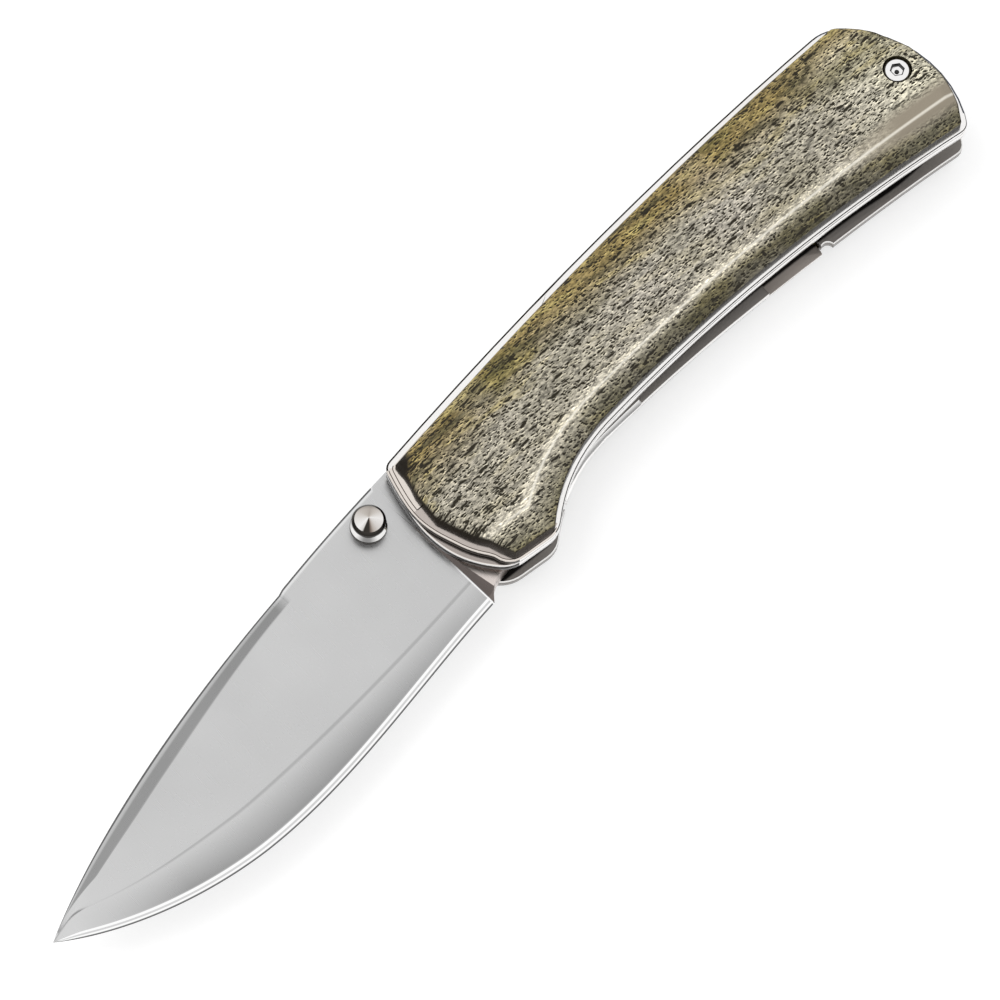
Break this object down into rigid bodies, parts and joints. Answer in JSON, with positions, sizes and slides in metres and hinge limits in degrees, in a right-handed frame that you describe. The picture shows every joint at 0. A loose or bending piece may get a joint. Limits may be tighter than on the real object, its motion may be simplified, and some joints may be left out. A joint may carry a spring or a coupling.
{
  "type": "folding pocket knife",
  "caption": "Liner-lock folding pocket knife, open: drop-point blade with swedge and thumb studs, curved handle of stepped steel plates with bone scales",
  "frame": {"origin": "The flat outer face of the far handle scale, on the axis of the blade pivot.", "axes": "+X points along the handle to its butt and the open blade to -X, +Y to the spine side, +Z out of the near scale, along the pivot axis."},
  "size_m": [0.2093, 0.05, 0.0158],
  "materials": {
    "blade_steel": "satin ground blade steel with a bright polished edge bevel",
    "polished_steel": "polished stainless steel, lightly brushed",
    "screw_steel": "plain darker hardened steel",
    "bone": "stabilised bone, olive and amber with dark pores, polished",
    "bronze": "plain phosphor bronze washer"
  },
  "bodies": {
    "handle": {"near_frame": "polished_steel", "near_liner": "polished_steel", "far_frame": "polished_steel", "stop_pin": "polished_steel", "standoff_butt": "polished_steel", "standoff_front": "polished_steel", "standoff_middle": "polished_steel", "butt_screw_near": "polished_steel", "butt_screw_far": "polished_steel", "pivot_barrel": "screw_steel", "pivot_screw": "screw_steel", "standoff_screw_front_near": "screw_steel", "standoff_screw_front_far": "screw_steel", "standoff_screw_middle_near": "screw_steel", "standoff_screw_middle_far": "screw_steel", "scale_screw_front_near": "screw_steel", "scale_screw_front_far": "screw_steel", "scale_screw_rear_near": "screw_steel", "scale_screw_rear_far": "screw_steel", "near_scale": "bone", "far_scale": "bone", "washer_near": "bronze", "washer_far": "bronze"},
    "blade": {"blade": "blade_steel", "thumb_stud_near": "polished_steel", "thumb_stud_far": "polished_steel"},
    "lock": {"lock_bar": "polished_steel", "detent_ball": "polished_steel"}
  },
  "joints": [
    {"name": "blade_pivot", "type": "hinge", "parent": "handle", "child": "blade", "pos_m": [0, 0, 0.00735], "axis": [0, 0, 1], "range_deg": [0, 173.8]},
    {"name": "lock_flex", "type": "hinge", "parent": "handle", "child": "lock", "pos_m": [0.0725, 0, 0.00378], "axis": [0, 1, 0], "range_deg": [-2.1, 0], "deforming": ["lock_bar", "detent_ball"]}
  ],
  "couplings": [
    {"joint": "lock_flex", "follows": "blade_pivot", "ratio": -0.01208}
  ]
}
